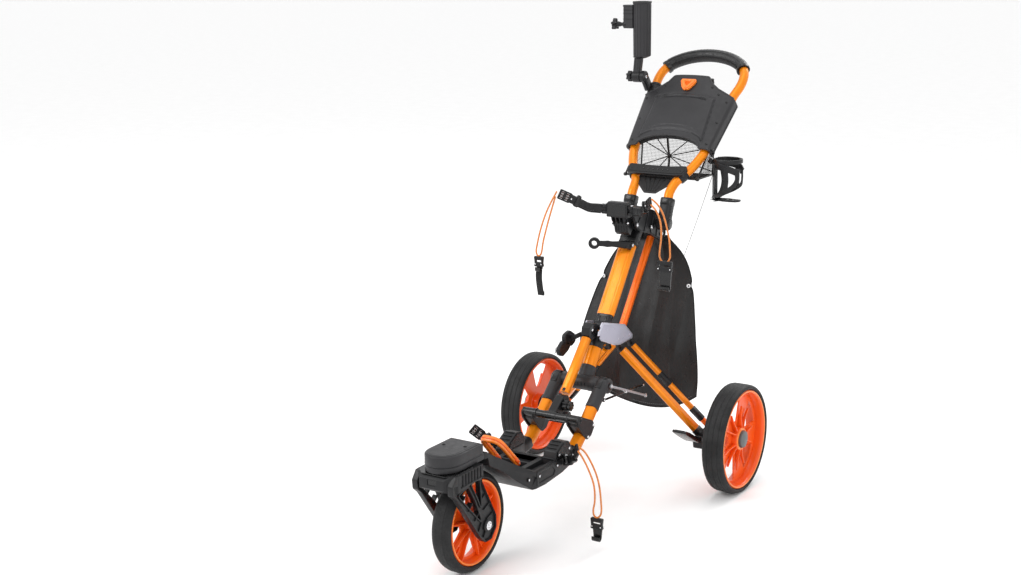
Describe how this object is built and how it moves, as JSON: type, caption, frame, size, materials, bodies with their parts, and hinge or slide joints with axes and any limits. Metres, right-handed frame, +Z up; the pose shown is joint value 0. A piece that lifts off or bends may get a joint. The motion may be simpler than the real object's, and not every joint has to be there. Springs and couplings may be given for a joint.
{
  "type": "golf push cart",
  "caption": "Folding three-wheeled golf push cart, unfolded: leaning column, looped handle with console, bag cradle arms, swivelling front wheel and spread rear legs.",
  "frame": {"origin": "on the floor under the middle of the unfolded cart", "axes": "+Z up, -Y forward towards the front wheel, +X to the right seen from the front"},
  "size_m": [0.701, 1.4463, 1.288],
  "materials": {
    "orange_metal": "gloss",
    "black_plastic": "satin",
    "silver_metal": "satin",
    "orange_plastic": "gloss",
    "grip_rubber": "matte",
    "tyre_rubber": "matte",
    "nylon": "matte",
    "elastic_cord": "matte"
  },
  "bodies": {
    "frame": {"storage_bag": "nylon", "hinge_plate_right": "silver_metal", "hinge_plate_left": "silver_metal", "hinge_lug": "black_plastic", "post_tube": "orange_metal", "front_casting": "black_plastic", "front_rail_right": "orange_metal", "front_rail_left": "orange_metal", "crossbar": "black_plastic", "strut_rod": "orange_metal"},
    "adjuster": {"adjuster_knob": "black_plastic"},
    "pedal": {"release_pedal": "black_plastic"},
    "column": {"column_tube": "orange_metal", "column_foot": "black_plastic"},
    "link": {"link_tube": "orange_metal"},
    "upper": {"upper_hinge": "black_plastic", "bag_bracket": "black_plastic"},
    "arm_upper_right": {"upper_cradle_arm_right": "black_plastic", "bungee_upper_right": "elastic_cord", "hook_upper_right": "black_plastic"},
    "arm_upper_left": {"upper_cradle_arm_left": "black_plastic", "bungee_upper_left": "elastic_cord", "hook_upper_left": "black_plastic"},
    "latch": {"latch_lever": "black_plastic"},
    "handle": {"handle_hoop": "orange_metal", "grip": "grip_rubber", "handle_collar_right": "black_plastic", "handle_collar_left": "black_plastic", "handle_crossbar": "black_plastic", "console": "black_plastic", "basket": "nylon", "cup_holder": "black_plastic", "umbrella_clamp": "black_plastic"},
    "clip": {"console_clip": "orange_plastic"},
    "umbrella": {"umbrella_holder": "black_plastic"},
    "tilt_knob": {"umbrella_tilt_knob": "black_plastic"},
    "set_knob": {"umbrella_set_knob": "black_plastic"},
    "front_arm": {"front_arm": "black_plastic", "head_cover": "black_plastic"},
    "bag_rest": {"bag_rest": "orange_metal"},
    "arm_lower_right": {"lower_cradle_arm_right": "black_plastic", "bungee_lower_right": "elastic_cord", "hook_lower_right": "black_plastic"},
    "arm_lower_left": {"lower_cradle_arm_left": "black_plastic"},
    "fork": {"fork": "black_plastic", "front_axle": "silver_metal"},
    "front_wheel": {"front_tyre": "tyre_rubber", "front_rim": "orange_plastic"},
    "leg_right": {"rear_leg_right": "orange_metal"},
    "leg_link_right": {"leg_link_right": "orange_metal"},
    "axle_right": {"axle_housing_right": "black_plastic"},
    "rear_wheel_right": {"rear_tyre_right": "tyre_rubber", "rear_rim_right": "orange_plastic"},
    "leg_left": {"rear_leg_left": "orange_metal"},
    "leg_link_left": {"leg_link_left": "orange_metal"},
    "axle_left": {"axle_housing_left": "black_plastic"},
    "rear_wheel_left": {"rear_tyre_left": "tyre_rubber", "rear_rim_left": "orange_plastic"},
    "brake": {"brake_pedal": "black_plastic"}
  },
  "joints": [
    {"name": "column_fold", "type": "hinge", "parent": "frame", "child": "column", "pos_m": [0, 0.061, 0.458], "axis": [1, 0, 0], "range_deg": [0, 80]},
    {"name": "link_fold", "type": "hinge", "parent": "frame", "child": "link", "pos_m": [0, 0.161, 0.415], "axis": [1, 0, 0], "range_deg": [0, 80]},
    {"name": "bracket_level", "type": "hinge", "parent": "column", "child": "upper", "pos_m": [0, 0.2442, 0.7056], "axis": [1, 0, 0], "range_deg": [-80, 0]},
    {"name": "handle_fold", "type": "hinge", "parent": "upper", "child": "handle", "pos_m": [0, 0.306, 0.7], "axis": [1, 0, 0], "range_deg": [-45, 0]},
    {"name": "console_clip_tilt", "type": "hinge", "parent": "handle", "child": "clip", "pos_m": [0, 0.5456, 1.0379], "axis": [1, 0, 0], "range_deg": [0, 30]},
    {"name": "umbrella_tilt", "type": "hinge", "parent": "handle", "child": "umbrella", "pos_m": [-0.152, 0.56, 1.073], "axis": [1, 0, 0], "range_deg": [-40, 60]},
    {"name": "tilt_knob_turn", "type": "hinge", "parent": "umbrella", "child": "tilt_knob", "pos_m": [-0.186, 0.56, 1.073], "axis": [1, 0, 0], "range_deg": [-180, 180]},
    {"name": "set_knob_turn", "type": "hinge", "parent": "umbrella", "child": "set_knob", "pos_m": [-0.236, 0.557, 1.222], "axis": [1, 0, 0], "range_deg": [-180, 180]},
    {"name": "latch_swing", "type": "hinge", "parent": "column", "child": "latch", "pos_m": [0.018, 0.182, 0.658], "axis": [0, -0.8039, 0.5948], "range_deg": [0, 35]},
    {"name": "upper_arm_swing_right", "type": "hinge", "parent": "upper", "child": "arm_upper_right", "pos_m": [0.04, 0.152, 0.758], "axis": [0, 0, 1], "range_deg": [-20, 20]},
    {"name": "upper_arm_swing_left", "type": "hinge", "parent": "upper", "child": "arm_upper_left", "pos_m": [-0.04, 0.152, 0.758], "axis": [0, 0, 1], "range_deg": [-20, 20]},
    {"name": "adjuster_turn", "type": "hinge", "parent": "frame", "child": "adjuster", "pos_m": [0.025, -0.16, 0.298], "axis": [1, 0, 0], "range_deg": [-180, 180]},
    {"name": "release_press", "type": "hinge", "parent": "frame", "child": "pedal", "pos_m": [-0.03, 0, 0.446], "axis": [1, 0, 0], "range_deg": [0, 15]},
    {"name": "front_fold", "type": "hinge", "parent": "frame", "child": "front_arm", "pos_m": [0, -0.255, 0.214], "axis": [1, 0, 0], "range_deg": [-48, 0]},
    {"name": "bag_rest_tilt", "type": "hinge", "parent": "front_arm", "child": "bag_rest", "pos_m": [0, -0.408, 0.221], "axis": [1, 0, 0], "range_deg": [-30, 0]},
    {"name": "lower_arm_swing_right", "type": "hinge", "parent": "front_arm", "child": "arm_lower_right", "pos_m": [0.096, -0.29, 0.204], "axis": [0, 0, 1], "range_deg": [-20, 20]},
    {"name": "lower_arm_swing_left", "type": "hinge", "parent": "front_arm", "child": "arm_lower_left", "pos_m": [-0.096, -0.29, 0.204], "axis": [0, 0, 1], "range_deg": [-20, 20]},
    {"name": "steering_swivel", "type": "hinge", "parent": "front_arm", "child": "fork", "pos_m": [0, -0.632, 0.283], "axis": [0, 0, 1], "range_deg": [-90, 90]},
    {"name": "front_wheel_spin", "type": "hinge", "parent": "fork", "child": "front_wheel", "pos_m": [0, -0.581, 0.124], "axis": [1, 0, 0], "continuous": true},
    {"name": "leg_fold_right", "type": "hinge", "parent": "frame", "child": "leg_right", "pos_m": [0, 0.113, 0.406], "axis": [1, 0, 0], "range_deg": [-75, 0]},
    {"name": "leg_link_fold_right", "type": "hinge", "parent": "frame", "child": "leg_link_right", "pos_m": [0, 0.173, 0.406], "axis": [1, 0, 0], "range_deg": [-75, 0]},
    {"name": "axle_level_right", "type": "hinge", "parent": "leg_right", "child": "axle_right", "pos_m": [0.232, 0.191, 0.158], "axis": [1, 0, 0], "range_deg": [0, 75]},
    {"name": "rear_wheel_spin_right", "type": "hinge", "parent": "axle_right", "child": "rear_wheel_right", "pos_m": [0.317, 0.226, 0.148], "axis": [1, 0, 0], "continuous": true},
    {"name": "leg_fold_left", "type": "hinge", "parent": "frame", "child": "leg_left", "pos_m": [0, 0.113, 0.406], "axis": [1, 0, 0], "range_deg": [-75, 0]},
    {"name": "leg_link_fold_left", "type": "hinge", "parent": "frame", "child": "leg_link_left", "pos_m": [0, 0.173, 0.406], "axis": [1, 0, 0], "range_deg": [-75, 0]},
    {"name": "axle_level_left", "type": "hinge", "parent": "leg_left", "child": "axle_left", "pos_m": [-0.232, 0.191, 0.158], "axis": [1, 0, 0], "range_deg": [0, 75]},
    {"name": "rear_wheel_spin_left", "type": "hinge", "parent": "axle_left", "child": "rear_wheel_left", "pos_m": [-0.317, 0.226, 0.148], "axis": [1, 0, 0], "continuous": true},
    {"name": "brake_press", "type": "hinge", "parent": "axle_right", "child": "brake", "pos_m": [0.22, 0.172, 0.142], "axis": [1, 0, 0], "range_deg": [0, 14]}
  ],
  "couplings": [
    {"joint": "link_fold", "follows": "column_fold", "ratio": 1},
    {"joint": "bracket_level", "follows": "column_fold", "ratio": -1},
    {"joint": "leg_fold_right", "follows": "column_fold", "ratio": -0.9375},
    {"joint": "leg_link_fold_right", "follows": "column_fold", "ratio": -0.9375},
    {"joint": "axle_level_right", "follows": "column_fold", "ratio": 0.9375},
    {"joint": "leg_fold_left", "follows": "column_fold", "ratio": -0.9375},
    {"joint": "leg_link_fold_left", "follows": "column_fold", "ratio": -0.9375},
    {"joint": "axle_level_left", "follows": "column_fold", "ratio": 0.9375}
  ]
}
